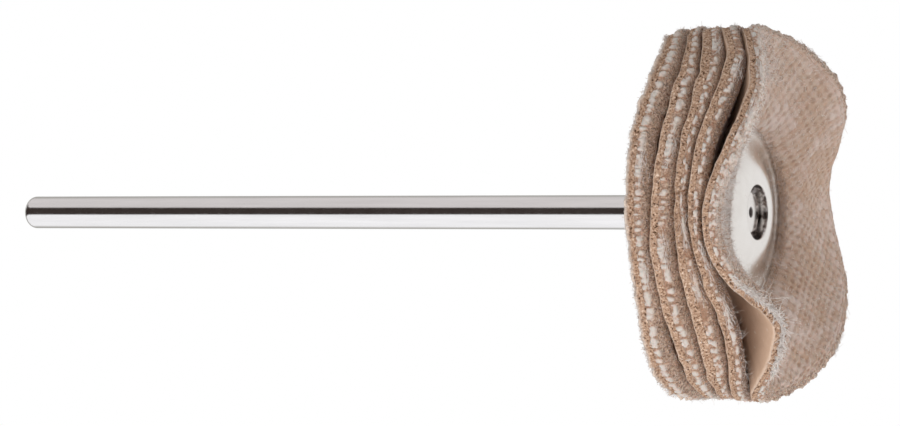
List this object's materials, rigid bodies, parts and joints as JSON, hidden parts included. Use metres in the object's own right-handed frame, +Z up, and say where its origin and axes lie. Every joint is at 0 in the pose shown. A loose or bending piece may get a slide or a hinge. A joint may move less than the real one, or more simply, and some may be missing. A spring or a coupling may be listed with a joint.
{
  "type": "felt polishing wheel",
  "caption": "Small mounted polishing wheel: laminated foam-backed cloth plies clamped between metal washers on a slim round shank.",
  "frame": {"origin": "on the spin axis, at the shank's shoulder, where the free shank meets the back washer", "axes": "+Y along the spin axis towards the shank's tail end; the wheel's front washer faces -Y; +Z up, with the wheel's top ply waves as they lie at rest"},
  "size_m": [0.0254, 0.0631, 0.0254],
  "materials": {
    "steel": "ground and polished, bright",
    "nickel": "satin nickel plate with fine hairline scratches",
    "foam": "thin tan foam: smooth skin on the back, open pores on the cut rim",
    "cloth": "napped plain-weave cotton, greyish beige with small brown specks and white yarn ends at the rim"
  },
  "bodies": {
    "root": {"shank": "steel", "back_washer": "nickel", "front_washer": "nickel", "ply_1_foam": "foam", "ply_1_cloth": "cloth", "ply_2_foam": "foam", "ply_2_cloth": "cloth", "ply_3_foam": "foam", "ply_3_cloth": "cloth", "ply_4_foam": "foam", "ply_4_cloth": "cloth", "ply_5_foam": "foam", "ply_5_cloth": "cloth"}
  },
  "joints": []
}
